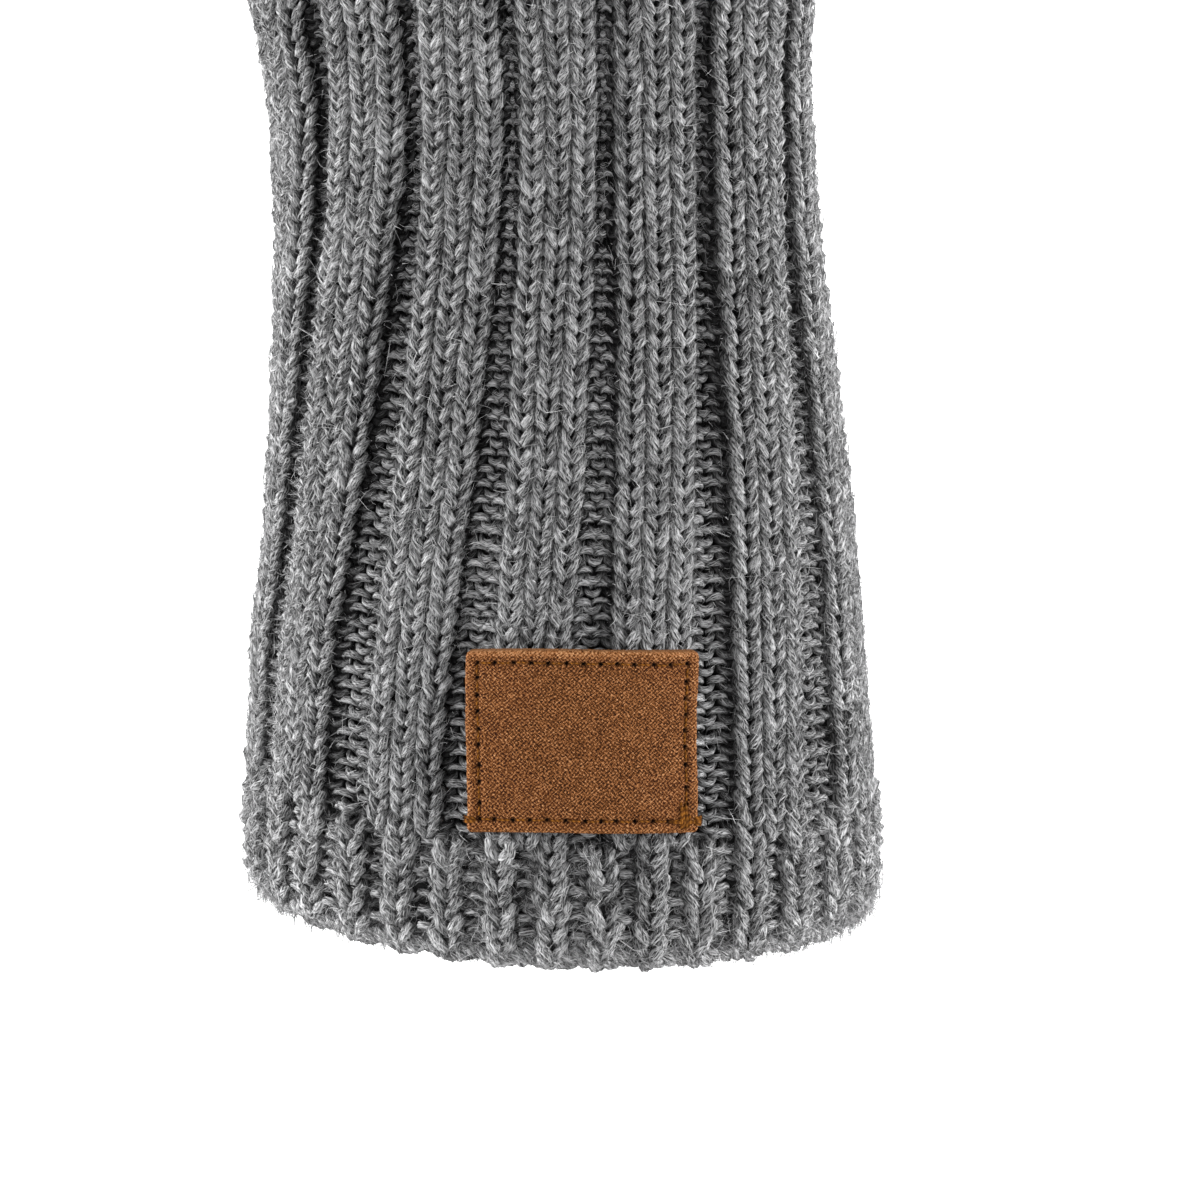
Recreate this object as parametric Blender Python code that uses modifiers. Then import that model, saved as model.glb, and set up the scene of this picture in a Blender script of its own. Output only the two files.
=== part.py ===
"""Ribbed wool wrist warmer, hollow and shaped as it is worn, with a leather patch near its hem.

Metres, +Z up the arm towards the hand, -Y the front, -X the side of the thumb.
The origin is the middle of the narrowest section, where the wrist holds the warmer.

The knitted tube is a wall with raised ribs outside and a plain inside. A stitch number,
0 to 70, says where round the tube a point lies: 0 is the groove that holds the thumb
opening, and every fifth number after it is the middle of another groove.
The tube is in two halves, front and back, that meet along the two side grooves.
"""

import math
from collections import namedtuple

import bpy

MM = 0.001

# Height of the garment
HEM_Z = -110 * MM
TOP_Z = 80 * MM
BAND_HEIGHT = 20 * MM
BAND_BLEND = 4 * MM
EDGE_ROUND = 1.5 * MM

# Knitting: three plain stitches and two sunk ones in each rib, one and one in the hem band
STITCHES = 70
RIB_STITCHES = 5
SUNK_STITCHES = 2
RIBS = STITCHES // RIB_STITCHES
PLAIN_WIDTH = 3.8 * MM
POINTS_PER_STITCH = 2
# Harmonics of the ribs' spacing round the tube: they stand closer in front and at the back
SPACING = (0.08, -0.10, -0.06)
THUMB_GROOVE_RIBS = 4

# Where a rib's crown ends and its groove is full, in stitches from the middle of the rib
CROWN_END = 0.9
GROOVE_FULL = 2.1

# Wall
WALL = 4.4 * MM
BAND_GROOVE = 1.3 * MM
SIDE_GAP = 0.45 * MM
ROWS_ABOVE_THUMB = 2
ROWS_AT_THUMB = 6
ROWS_ON_ARM = 9
ROWS_IN_BAND = 3

# The courses slant: the +X side hangs lower from here down
COURSE_SLANT = 0.04
SLANT_TOP_Z = 10 * MM
SLANT_FULL_Z = -20 * MM

# Thumb opening, in the groove on the -X side
THUMB_BOTTOM_Z = 33 * MM
THUMB_TOP_Z = 63 * MM
THUMB_HALF_WIDTH = 9 * MM
THUMB_PULL_STITCHES = 10
THUMB_LENS_POWER = 0.8

# Leather patch
PATCH_WIDTH = 30.8 * MM
PATCH_HEIGHT = 24.8 * MM
PATCH_MIDDLE_X = 2.9 * MM
PATCH_MIDDLE_Z = -77.4 * MM
PATCH_THICK = 1.5 * MM
PATCH_GAP = 0.3 * MM
PATCH_CORNER = 0.8 * MM
PATCH_EDGE_ROUND = 0.3 * MM
# How far the patch's top and lower edges hang at their middle, and how much more at their ends;
# and how much further right its upper right corner reaches
PATCH_TOP_DROP = 0.28 * MM
PATCH_TOP_LEFT_DROP = 0.97 * MM
PATCH_TOP_RIGHT_DROP = 0.27 * MM
PATCH_LOW_DROP = 0.22 * MM
PATCH_LOW_LEFT_DROP = 0.88 * MM
PATCH_LOW_RIGHT_DROP = 0.12 * MM
PATCH_TOP_WIDER = 0.35 * MM
PATCH_COLUMNS = 8
PATCH_ROWS = 4

# Outline of the crowns of the ribs, in millimetres. shift_x is the middle of the section,
# groove is the depth between two ribs, and turn is how far the ribs have turned, in ribs.
Section = namedtuple("Section", "z shift_x half_width half_depth groove turn")
SECTIONS = (
    Section(z=80, shift_x=-1.5, half_width=40.2, half_depth=19.8, groove=2.8, turn=0.88),
    Section(z=62, shift_x=-2.6, half_width=41.6, half_depth=20.2, groove=3.0, turn=0.87),
    Section(z=46, shift_x=-3.0, half_width=41.4, half_depth=20.6, groove=3.1, turn=0.85),
    Section(z=32, shift_x=-2.3, half_width=40.2, half_depth=21.4, groove=3.2, turn=0.82),
    Section(z=18, shift_x=-1.5, half_width=39.4, half_depth=22.6, groove=3.2, turn=0.81),
    Section(z=8, shift_x=-0.8, half_width=38.2, half_depth=23.4, groove=3.2, turn=0.78),
    Section(z=0, shift_x=0.0, half_width=37.9, half_depth=24.2, groove=3.2, turn=0.72),
    Section(z=-16, shift_x=1.0, half_width=38.2, half_depth=27.0, groove=3.1, turn=0.60),
    Section(z=-28, shift_x=1.8, half_width=39.1, half_depth=30.0, groove=3.0, turn=0.49),
    Section(z=-39, shift_x=2.4, half_width=40.0, half_depth=32.5, groove=2.9, turn=0.42),
    Section(z=-51, shift_x=2.9, half_width=41.2, half_depth=35.0, groove=2.8, turn=0.34),
    Section(z=-62, shift_x=3.0, half_width=42.2, half_depth=37.0, groove=2.7, turn=0.29),
    Section(z=-74, shift_x=2.9, half_width=43.5, half_depth=38.3, groove=2.6, turn=0.26),
    Section(z=-85, shift_x=3.1, half_width=44.3, half_depth=39.2, groove=2.5, turn=0.23),
    Section(z=-97, shift_x=3.0, half_width=45.3, half_depth=40.0, groove=2.4, turn=0.23),
    Section(z=-104, shift_x=3.0, half_width=45.5, half_depth=40.3, groove=2.4, turn=0.22),
    Section(z=-110, shift_x=3.2, half_width=44.3, half_depth=40.1, groove=2.4, turn=0.21),
)

WOOL_GREY = (0.22, 0.22, 0.22, 1.0)
LEATHER_TAN = (0.36, 0.13, 0.045, 1.0)


def smooth_step(value, low, high):
    """0 below low, 1 above high, and an even S between them."""
    t = min(max((value - low) / (high - low), 0.0), 1.0)
    return t * t * (3.0 - 2.0 * t)


def section_at(z):
    """The section at height z, read from a smooth curve through the table's rows."""
    height = min(max(z / MM, SECTIONS[-1].z), SECTIONS[0].z)
    k = 0
    while height < SECTIONS[k + 1].z and k < len(SECTIONS) - 2:
        k += 1
    rows = [SECTIONS[min(max(k + step, 0), len(SECTIONS) - 1)] for step in (-1, 0, 1, 2)]
    t = (height - rows[1].z) / (rows[2].z - rows[1].z)
    values = [height]
    for p0, p1, p2, p3 in list(zip(*rows))[1:]:
        straight = p1 + (p2 - p1) * t
        ease = p0 - 2.0 * p1 + p2 + ((p1 - 2.0 * p2 + p3) - (p0 - 2.0 * p1 + p2)) * t
        values.append(straight - ease * t * (1.0 - t) * 0.5)
    return Section(*values)


class Ring:
    """One level cut through the outline: turns a way round it, in metres, into a point."""

    SAMPLES = 720

    def __init__(self, z):
        self.z = z
        self.section = section_at(z)
        self.angles = [2.0 * math.pi * (k / self.SAMPLES - 0.5) for k in range(self.SAMPLES + 1)]
        self.way = [0.0]
        for low, high in zip(self.angles, self.angles[1:]):
            step = math.dist(self.on_outline(low), self.on_outline(high))
            self.way.append(self.way[-1] + step)
        self.length = self.way[-1]

    def on_outline(self, angle):
        section = self.section
        x = section.half_width * MM * math.sin(angle)
        y = -section.half_depth * MM * math.cos(angle)
        return x, y

    def angle_at(self, way):
        """The angle from the front at a way round the outline, measured from the front."""
        way = (way + self.length / 2.0) % self.length
        low, high = 0, self.SAMPLES
        while high - low > 1:
            middle = (low + high) // 2
            if self.way[middle] <= way:
                low = middle
            else:
                high = middle
        part = (way - self.way[low]) / (self.way[high] - self.way[low])
        return self.angles[low] + (self.angles[high] - self.angles[low]) * part

    def point(self, way, inset):
        """A point of the wall, inset metres inside the crowns of the ribs."""
        section = self.section
        angle = self.angle_at(way)
        x, y = self.on_outline(angle)
        normal_x = math.sin(angle) / section.half_width
        normal_y = -math.cos(angle) / section.half_depth
        size = math.hypot(normal_x, normal_y)
        x -= inset * normal_x / size
        y -= inset * normal_y / size
        slant = COURSE_SLANT * (1.0 - smooth_step(self.z, SLANT_FULL_Z, SLANT_TOP_Z))
        return x + section.shift_x * MM, y, self.z - slant * x


def way_of_stitch(ring, stitch):
    """How far round from the front a stitch lies; ribs keep their width, grooves give."""
    rib, place = divmod(stitch, RIB_STITCHES)
    pitch = ring.length / RIBS
    plain = PLAIN_WIDTH / pitch
    sunk = (1.0 - (RIB_STITCHES - SUNK_STITCHES) * plain) / SUNK_STITCHES
    edge = SUNK_STITCHES / 2.0
    inside = min(max(place - edge, 0.0), RIB_STITCHES - SUNK_STITCHES)
    along = inside * plain + (place - inside) * sunk
    turned = rib + along - THUMB_GROOVE_RIBS + ring.section.turn
    spaced = turned
    for number, strength in enumerate(SPACING, start=1):
        wave = RIBS / (2.0 * math.pi * number)
        spaced += strength * wave * math.sin(turned / wave)
    return spaced * pitch


def rib_groove(ring, stitch):
    """Depth below the crowns of the ribs: the wide ribs above, the hem band's fine ones below."""
    from_crown = abs(stitch % RIB_STITCHES - RIB_STITCHES / 2.0)
    wide = smooth_step(from_crown, CROWN_END, GROOVE_FULL) * ring.section.groove * MM
    fine = (0.5 - 0.5 * math.cos(math.pi * (stitch - 0.5))) * BAND_GROOVE
    band_top = HEM_Z + BAND_HEIGHT
    in_band = 1.0 - smooth_step(ring.z, band_top - BAND_BLEND, band_top)
    return wide + (fine - wide) * in_band


def opening_half_width(z):
    """Half the width of the gap at the thumb's side: a lens, and the seam elsewhere."""
    half = SIDE_GAP / 2.0
    if THUMB_BOTTOM_Z < z < THUMB_TOP_Z:
        part = (z - THUMB_BOTTOM_Z) / (THUMB_TOP_Z - THUMB_BOTTOM_Z)
        half += THUMB_HALF_WIDTH * math.sin(math.pi * part) ** THUMB_LENS_POWER
    return half


def wall_way(ring, stitch, first, last):
    """The way round of a stitch in the half from first to last, parted at the two sides."""
    way = way_of_stitch(ring, stitch)
    for edge, sign in ((first, 1.0), (last, -1.0)):
        at_thumb = edge % STITCHES == 0
        half = opening_half_width(ring.z) if at_thumb else SIDE_GAP / 2.0
        near = max(1.0 - abs(stitch - edge) / THUMB_PULL_STITCHES, 0.0)
        way += sign * half * near * near
    return way


def row_heights():
    """Heights of the wall's rows, top to bottom, closer together in the hem band."""
    band_top = HEM_Z + BAND_HEIGHT
    stretches = (
        (THUMB_TOP_Z, ROWS_ABOVE_THUMB),
        (THUMB_BOTTOM_Z, ROWS_AT_THUMB),
        (band_top, ROWS_ON_ARM),
        (band_top - BAND_BLEND, 1),
        (HEM_Z + EDGE_ROUND, ROWS_IN_BAND),
    )
    heights = [TOP_Z - EDGE_ROUND]
    for low, rows in stretches:
        high = heights[-1]
        heights += [high + (low - high) * k / rows for k in range(1, rows + 1)]
    return heights


def mesh_object(name, points, faces, material):
    mesh = bpy.data.meshes.new(name)
    mesh.from_pydata(points, [], faces)
    mesh.materials.append(material)
    mesh.shade_smooth()
    mesh.set_sharp_from_angle(angle=math.radians(50))
    return bpy.data.objects.new(name, mesh)


def knit_half(name, first, last, material):
    """Half of the knitted tube: a closed wall between two side grooves."""
    heights = row_heights()
    rings = [Ring(z) for z in heights]
    top_ring, hem_ring = Ring(TOP_Z), Ring(HEM_Z)
    rows = len(rings)
    loop = 2 * rows + 2
    columns = (last - first) * POINTS_PER_STITCH + 1
    points = []
    for column in range(columns):
        stitch = first + column / POINTS_PER_STITCH
        ways = [wall_way(ring, stitch, first, last) for ring in rings]
        grooves = [rib_groove(ring, stitch) for ring in rings]
        outer = [r.point(way, groove) for r, way, groove in zip(rings, ways, grooves)]
        inner = [r.point(way, WALL) for r, way in zip(rings, ways)]
        hem_inset = (grooves[-1] + WALL) / 2.0
        top_inset = (grooves[0] + WALL) / 2.0
        hem = hem_ring.point(wall_way(hem_ring, stitch, first, last), hem_inset)
        top = top_ring.point(wall_way(top_ring, stitch, first, last), top_inset)
        points += outer + [hem] + inner[::-1] + [top]

    faces = []
    for column in range(columns - 1):
        for k in range(loop):
            a = column * loop + k
            b = column * loop + (k + 1) % loop
            faces.append((a, b, b + loop, a + loop))
    for column, turned in ((0, False), (columns - 1, True)):
        base = column * loop
        side = [(base, base + loop - 1, base + loop - 2)]
        for k in range(rows - 1):
            inner_k = loop - 2 - k
            side.append((base + k + 1, base + k, base + inner_k, base + inner_k - 1))
        side.append((base + rows, base + rows - 1, base + rows + 1))
        faces += [face[::-1] for face in side] if turned else side
    return mesh_object(name, points, faces, material)


def patch_outline_inset(part_up):
    """How far the patch's side edge steps in near its rounded corners."""
    from_end = min(part_up, 1.0 - part_up) * PATCH_HEIGHT
    if from_end >= PATCH_CORNER:
        return 0.0
    rise = PATCH_CORNER - from_end
    return PATCH_CORNER - math.sqrt(PATCH_CORNER**2 - rise**2)


def patch_point(across, up, half, outset):
    """A point of the patch, as it hangs: across and up run from -1 to 1, half is its half width there."""
    high, low = max(up, 0.0), max(-up, 0.0)
    left, right = max(-across, 0.0), max(across, 0.0)
    z = PATCH_MIDDLE_Z + up * PATCH_HEIGHT / 2.0
    z -= high * (PATCH_TOP_DROP + PATCH_TOP_LEFT_DROP * left**2 + PATCH_TOP_RIGHT_DROP * right**2)
    z -= low * (PATCH_LOW_DROP + PATCH_LOW_LEFT_DROP * left**2 + PATCH_LOW_RIGHT_DROP * right**2)
    way = PATCH_MIDDLE_X + half * across + PATCH_TOP_WIDER * high * right
    return Ring(z).point(way, -outset)


def leather_patch(material):
    """The patch lies on the crowns of the ribs: both its faces are the tube's outline moved out."""
    corner = PATCH_CORNER / PATCH_HEIGHT
    in_corner = 0.3 * corner
    parts = [0.0, in_corner]
    parts += [corner + (1.0 - 2.0 * corner) * k / PATCH_ROWS for k in range(PATCH_ROWS + 1)]
    parts += [1.0 - in_corner, 1.0]
    points = []
    for outset in (PATCH_GAP + PATCH_THICK, PATCH_GAP):
        for part in parts:
            half = PATCH_WIDTH / 2.0 - patch_outline_inset(part)
            for column in range(PATCH_COLUMNS + 1):
                across = 2.0 * column / PATCH_COLUMNS - 1.0
                points.append(patch_point(across, 2.0 * part - 1.0, half, outset))
    wide = PATCH_COLUMNS + 1
    tall = len(parts)
    back = wide * tall
    faces = []
    for row in range(tall - 1):
        for column in range(PATCH_COLUMNS):
            a = row * wide + column
            faces.append((a, a + 1, a + 1 + wide, a + wide))
            faces.append((back + a + wide, back + a + 1 + wide, back + a + 1, back + a))
    rim = list(range(wide))
    rim += [row * wide + wide - 1 for row in range(1, tall)]
    rim += [(tall - 1) * wide + column for column in range(wide - 2, -1, -1)]
    rim += [row * wide for row in range(tall - 2, 0, -1)]
    for a, b in zip(rim, rim[1:] + rim[:1]):
        faces.append((b, a, back + a, back + b))
    patch = mesh_object("leather_patch", points, faces, material)
    bevel = patch.modifiers.new("soft_edge", "BEVEL")
    bevel.width = PATCH_EDGE_ROUND
    bevel.segments = 2
    bevel.limit_method = "ANGLE"
    bevel.angle_limit = math.radians(60)
    return patch


def plain_material(name, colour, roughness):
    material = bpy.data.materials.new(name)
    material.use_nodes = True
    shader = material.node_tree.nodes["Principled BSDF"]
    shader.inputs["Base Color"].default_value = colour
    shader.inputs["Roughness"].default_value = roughness
    shader.inputs["Metallic"].default_value = 0.0
    return material


def build():
    for old in list(bpy.data.objects):
        bpy.data.objects.remove(old, do_unlink=True)
    collection = bpy.data.collections.new("wrist_warmer")
    bpy.context.scene.collection.children.link(collection)
    half = STITCHES // 2
    front_wool = plain_material("wool_front", WOOL_GREY, 0.95)
    back_wool = plain_material("wool_back", WOOL_GREY, 0.95)
    leather = plain_material("leather", LEATHER_TAN, 0.7)
    pieces = (
        knit_half("knit_front", 0, half, front_wool),
        knit_half("knit_back", half, STITCHES, back_wool),
        leather_patch(leather),
    )
    for piece in pieces:
        collection.objects.link(piece)


build()
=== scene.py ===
"""Looks of the ribbed wool wrist warmer: every stitch as yarn, stray fibres, and the sewn leather patch.

Metres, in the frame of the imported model. The yarn follows the same form as the solids: a stitch
number, 0 to 70, says where round the tube a point lies, and 0 is the groove of the thumb opening.
"""
import math
from collections import namedtuple

import bpy
import numpy as np
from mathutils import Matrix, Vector


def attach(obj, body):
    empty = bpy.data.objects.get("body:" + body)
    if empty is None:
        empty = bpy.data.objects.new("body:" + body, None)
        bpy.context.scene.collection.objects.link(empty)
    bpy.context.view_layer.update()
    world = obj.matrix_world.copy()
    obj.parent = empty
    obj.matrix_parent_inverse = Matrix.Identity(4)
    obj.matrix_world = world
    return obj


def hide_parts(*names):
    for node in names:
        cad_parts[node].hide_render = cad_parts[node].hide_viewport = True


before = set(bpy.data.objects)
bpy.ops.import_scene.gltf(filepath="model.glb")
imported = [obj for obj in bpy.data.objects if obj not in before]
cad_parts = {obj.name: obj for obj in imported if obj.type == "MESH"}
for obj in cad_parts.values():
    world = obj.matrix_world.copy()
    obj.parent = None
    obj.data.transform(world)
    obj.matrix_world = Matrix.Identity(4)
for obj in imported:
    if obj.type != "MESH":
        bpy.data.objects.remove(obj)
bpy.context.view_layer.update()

MM = 0.001
SEED = 11

# Form of the knitted tube, as in the part's source
HEM_Z = -110 * MM
TOP_Z = 80 * MM
BAND_TOP_Z = HEM_Z + 20 * MM
BAND_BLEND = 4 * MM
BAND_GROOVE = 1.3 * MM
STITCHES = 70
RIB_STITCHES = 5
SUNK_STITCHES = 2
RIBS = STITCHES // RIB_STITCHES
PLAIN_WIDTH = 3.8 * MM
SPACING = (0.08, -0.10, -0.06)
THUMB_GROOVE_RIBS = 4
CROWN_END = 0.9
GROOVE_FULL = 2.1
COURSE_SLANT = 0.04
SLANT_TOP_Z = 10 * MM
SLANT_FULL_Z = -20 * MM
THUMB_BOTTOM_Z = 33 * MM
THUMB_TOP_Z = 63 * MM
THUMB_HALF_WIDTH = 9 * MM
THUMB_PULL_STITCHES = 10
THUMB_LENS_POWER = 0.8

# Sections of the tube, in millimetres and ribs: z, shift_x, half_width, half_depth, groove, turn
SECTIONS = np.array((
    (80, -1.5, 40.2, 19.8, 2.8, 0.88),
    (62, -2.6, 41.6, 20.2, 3.0, 0.87),
    (46, -3.0, 41.4, 20.6, 3.1, 0.85),
    (32, -2.3, 40.2, 21.4, 3.2, 0.82),
    (18, -1.5, 39.4, 22.6, 3.2, 0.81),
    (8, -0.8, 38.2, 23.4, 3.2, 0.78),
    (0, 0.0, 37.9, 24.2, 3.2, 0.72),
    (-16, 1.0, 38.2, 27.0, 3.1, 0.60),
    (-28, 1.8, 39.1, 30.0, 3.0, 0.49),
    (-39, 2.4, 40.0, 32.5, 2.9, 0.42),
    (-51, 2.9, 41.2, 35.0, 2.8, 0.34),
    (-62, 3.0, 42.2, 37.0, 2.7, 0.29),
    (-74, 2.9, 43.5, 38.3, 2.6, 0.26),
    (-85, 3.1, 44.3, 39.2, 2.5, 0.23),
    (-97, 3.0, 45.3, 40.0, 2.4, 0.23),
    (-104, 3.0, 45.5, 40.3, 2.4, 0.22),
    (-110, 3.2, 44.3, 40.1, 2.4, 0.21),
))

# Stitches
ROWS = 86
FIRST_ROW_Z = HEM_Z + 2.9 * MM
ROW_HEIGHT = 2.165 * MM
LOOP_REACH = 1.9 * MM
LOOP_BULGE = 0.27
KNIT_DEPTH = 0.85 * MM
PURL_DEPTH = 0.9 * MM
SHARED_PART = 0.22
YARN_SIDE = 0.82 * MM
YARN_OUT = 1.0 * MM
YARN_INSET = 1.85 * MM
PURL_THINNER = 0.32
BAND_FATTER = 0.12
BAND_KNIT_WIDER = 0.08
BAND_LOOSER = 0.95
THICKNESS_SPREAD = 0.06
ODD_STITCHES_Z = -100.6 * MM
ODD_STITCHES_WAY = 4.6 * MM
ODD_STITCHES_HALF = 5.6 * MM
SLIT_EDGE = 0.2
SLIT_CLOSED = 0.3 * MM

# Unevenness: each stitch's own, the slow one, and how many rows and stitches the slow one is smoothed over
UNEVEN_ACROSS = (0.035, 0.05, 6, 2)
UNEVEN_UP = (0.11, 0.12, 2, 5)
UNEVEN_OUT = (0.11, 0.06, 3, 3)
UNEVEN_SIZE = 0.06
COLUMN_TWIST = 0.07 * MM
BAND_TWIST = 0.25 * MM
TWIST_SHARE = 0.7
TWIST_BLUR = (4, 0.01)

# Halves of the yarn: name, first and last stitch, segments of a plain and a sunk stitch, sides, pieces
HALVES = (("front", 0, STITCHES // 2, (11, 16), 5, 3),
          ("back", STITCHES // 2, STITCHES, (7, 8), 5, 2))
PLAIN_CROWDING = -0.15
SUNK_CROWDING = 0.35
PATH_STEP = 0.02
YARN_ROUND = 6.0
YARN_START = 900.0
BACK_START = 31.0

# Painted shade and painted light of the yarn: painted shade in the creases, painted light in the purl
# ladders, at the tube's sides, near the hem and on the inner faces. A crease's depths are in millimetres:
# where it starts, where it is full, and how much deeper that is in the band
TONE_SPREAD = 0.08
BAND_TONE_LESS = 0.03
SLOW_TONE = 0.004
SLOW_BLUR = (2, 4)
KNIT_CREASE = (0.25, 1.6, 0.5)
PURL_CREASE = (0.3, 1.2, 0.6)
SIDE_CREASE_LESS = 0.18
BAND_CREASE_LESS = 0.24
LADDER_HOLLOW = (0.3 * MM, 2.6 * MM)
LADDER_FACING = (0.30, 0.47)
LADDER_LIGHT = 0.62
LADDER_SIDE_LESS = 0.68
SIDE_FACING = (0.6, 0.95)
SIDE_LIGHT = 0.10
BAND_LIGHT = -0.01
EDGE_HEIGHTS = (HEM_Z + 2.0 * MM, HEM_Z + 7.0 * MM)
EDGE_LIGHT = 0.48
INSIDE_DEPTHS = (2.4 * MM, 3.0 * MM)
INSIDE_LIGHT = 0.3

# Edge cords round the tube: name, height, inset, how far they follow the fine rib, and lightness, which is
# painted light
CORDS = (("hem_cord", HEM_Z + 1.3 * MM, 2.5 * MM, 0.3 * MM, 0.6),
         ("top_cord", TOP_Z - 1.2 * MM, 2.3 * MM, 0.0, 0.1))
CORD_POINTS = 6
CORD_RADIUS = 0.85 * MM
CORD_SWING = 0.85
CORD_WOBBLE = 0.12
CORD_THICKNESS_SPREAD = 0.10
CORD_TONE_SPREAD = 0.12
CORD_STRANDS = 2
CORD_SIDES = 6
CORD_TWIST = 3.5 * MM
CORD_DEPTH = 1.0 * MM
CORD_START = 500.0
THUMB_CORD_TWIST = 3.8 * MM
THUMB_CORD_INSET = 2.4 * MM
THUMB_CORD_STITCH = 0.15
THUMB_CORD_POINTS = 60
THUMB_CORD_PAST = 0.5 * MM

# Fibres: how many, how fast they get fewer with depth, how many more at the tube's sides and hem, usual
# length, its spread and its limit, width, curl, tone with its factor and power, steps of a ribbon, spread
# round the yarn, height on the yarn's radius, and the random part of the direction
Fibres = namedtuple("Fibres", "count fade sides hem reach spread most width curl tone light power steps "
                              "turn height stray")
HALO = Fibres(38000, 1.5 * MM, 2.5, 2.5, 1.9 * MM, 0.5, 5.5 * MM, 0.055 * MM, (0.2, 1.0), (0.4, 1.0),
              1.0, 1.0, 2, 0.8, 0.85, 0.4)
SHORT = Fibres(66000, 1.2 * MM, 3.0, 3.0, 0.95 * MM, 0.4, 2.0 * MM, 0.075 * MM, (0.0, 0.0), (0.4, 0.95),
               1.0, 1.0, 1, 0.9, 0.8, 0.75)
LYING = Fibres(42000, 0.8 * MM, 0.0, 4.0, 2.6 * MM, 0.35, 5.0 * MM, 0.085 * MM, (0.1, 0.9), (0.0, 1.0),
               0.88, 1.2, 2, 0.75, 0.97, 0.0)
HAIRS = Fibres(320, 2.0 * MM, 0.0, 0.0, 2.6 * MM, 0.5, 6.5 * MM, 0.06 * MM, (0.5, 2.4), (0.3, 0.9),
               1.0, 1.0, 8, 0.0, 0.0, 0.6)
RIBBON_TAPER = 0.35
ROOT_DEPTH = 1.0 * MM
ROOT_SIDES = (0.75, 0.97)
ROOT_HEM = (HEM_Z + 1 * MM, HEM_Z + 6 * MM)
HALO_RISE = (0.2, 1.0)
HALO_HEM_LONGER = 0.8
SHORT_OUTWARD = 0.8
HAIRS_TOP_Z = HEM_Z + 3.5 * MM
LYING_LIFT = (-0.05, 0.16)
LYING_DOWN = 0.25
LYING_SHIFT = 0.35

# Where the patch covers the wool, in millimetres: its middle and half size
COVERED_X, COVERED_HALF_X = 5.9, 15.6
COVERED_Z, COVERED_HALF_Z = -77.9, 12.4

# Sheet behind the yarn
SHEET_POINTS = 2
SHEET_LEVELS = 32
SHEET_END = 1.2 * MM
SHEET_OUTER = 1.9 * MM
SHEET_INNER = 2.5 * MM

# Leather patch, as in the part's source
PATCH_WIDTH = 30.8 * MM
PATCH_HEIGHT = 24.8 * MM
PATCH_MIDDLE_X = 2.9 * MM
PATCH_MIDDLE_Z = -77.4 * MM
PATCH_THICK = 1.5 * MM
PATCH_GAP = 0.3 * MM
PATCH_CORNER = 0.8 * MM

# The rest of the patch is in millimetres
HALF_X, HALF_Z = PATCH_WIDTH / MM / 2, PATCH_HEIGHT / MM / 2
PATCH_TOP_DROPS = (0.28, 0.97, 0.27)  # in the middle, and more at the left and right corners
PATCH_LOW_DROPS = (0.22, 0.88, 0.12)
PATCH_TOP_WIDER = 0.35
PATCH_ROUNDING = 0.45
PATCH_NARROWER = 0.05
WEAR_POWER = 8
FACE_HEIGHT = (PATCH_GAP + PATCH_THICK) / MM
PATCH_CELL = 0.3
PATCH_SHARP = math.radians(55)
EDGE_TICKS = (0.0, 0.06, 0.16, 0.32, 0.6)
SEAM_TICKS = (-0.45, -0.3, -0.15, 0.0, 0.15, 0.3, 0.45)
OUTER_TICKS_END = 0.7
WEAR_AND_HIGHLIGHT_WIDTH = 1.3
BACK_STEP = 8
BACK_MAP_SHIFT = 40.0
SEAM_INSET = 1.7
SEAM_X, SEAM_Z = HALF_X - SEAM_INSET, HALF_Z - SEAM_INSET
SEAM_STITCH = 2.3
SEAM_WIDTH = 0.3
SEAM_SINK = 0.16
SEAM_PAST = 0.2
FAR_AWAY = 10.0
HOLE_WIDTH = 0.26
HOLE_SINK = 0.60
HOLE_UNEVEN = 0.14
HOLE_SPREAD = 0.05

# Thread, in millimetres: how far it rises over the leather, and its radius
SEAM_THREAD = (0.02, 0.13)
BAR_THREAD = (0.22, 0.16)
LEVEL_THREAD = (0.2, 0.16)
TUFT_THREAD = (0.12, 0.16)
LEFT_THREAD = (0.16, 0.17)
BAR_THREADS = 13
LEVEL_THREADS = 3
TUFT_THREADS = 5
LEFT_TUFT = (-0.4, -0.05, 0.3)
THREAD_STEPS = 10
THREAD_SIDES = 6
THREAD_SINK = 0.75
THREAD_UP = 0.65
THREAD_BOW = 0.04
THREAD_ARCH = 1.5
THREAD_START = 90.0
THREAD_TONES = (0.3, 0.7)
CORNER_CONTRAST = 2.0
CORNER_DARKER = 0.8

# Materials. A strand of the yarn has a slope, its fineness along and across, and a place in the noise
YARN_STRANDS = ((-0.30, 1.1, 3.6, 0.0), (0.75, 1.5, 3.6, 4.7))
YARN_TONE_SHARE = 0.22
# How strongly the yarn's painted shade darkens its colour
PAINTED_SHADE_DARKER = 0.985
PLY_ACROSS = 1.0 / 3.0
PLY_ALONG = 0.28
# How much lighter the backing's inner face is than its outer face, which is painted dark as shade
INSIDE_LIGHTER = 8.0
GRAIN_LONG = 1.9
GRAIN_SHORT = 5.4
CROSS_FINE = 10.6
CROSS_WARP = 9.0
GRAIN_SHARE = 0.44
BLOTCH_SHARE = 0.08
SPECK_SHARE = 0.18
CROSS_SHARE = 0.031
# How much painted shade the seam's trough gets
SEAM_SHARE = 0.09
LEATHER_LIGHTER = 0.147
# A lighter rim, partly wear and partly painted highlight, and a painted highlight along the top edge
EDGE_LIGHTER = 0.025
TOP_EDGE = (HALF_Z - 1.0, HALF_Z - 0.3)
TOP_LIGHTER = 0.042
THREAD_TWIST = 9.0

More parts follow.
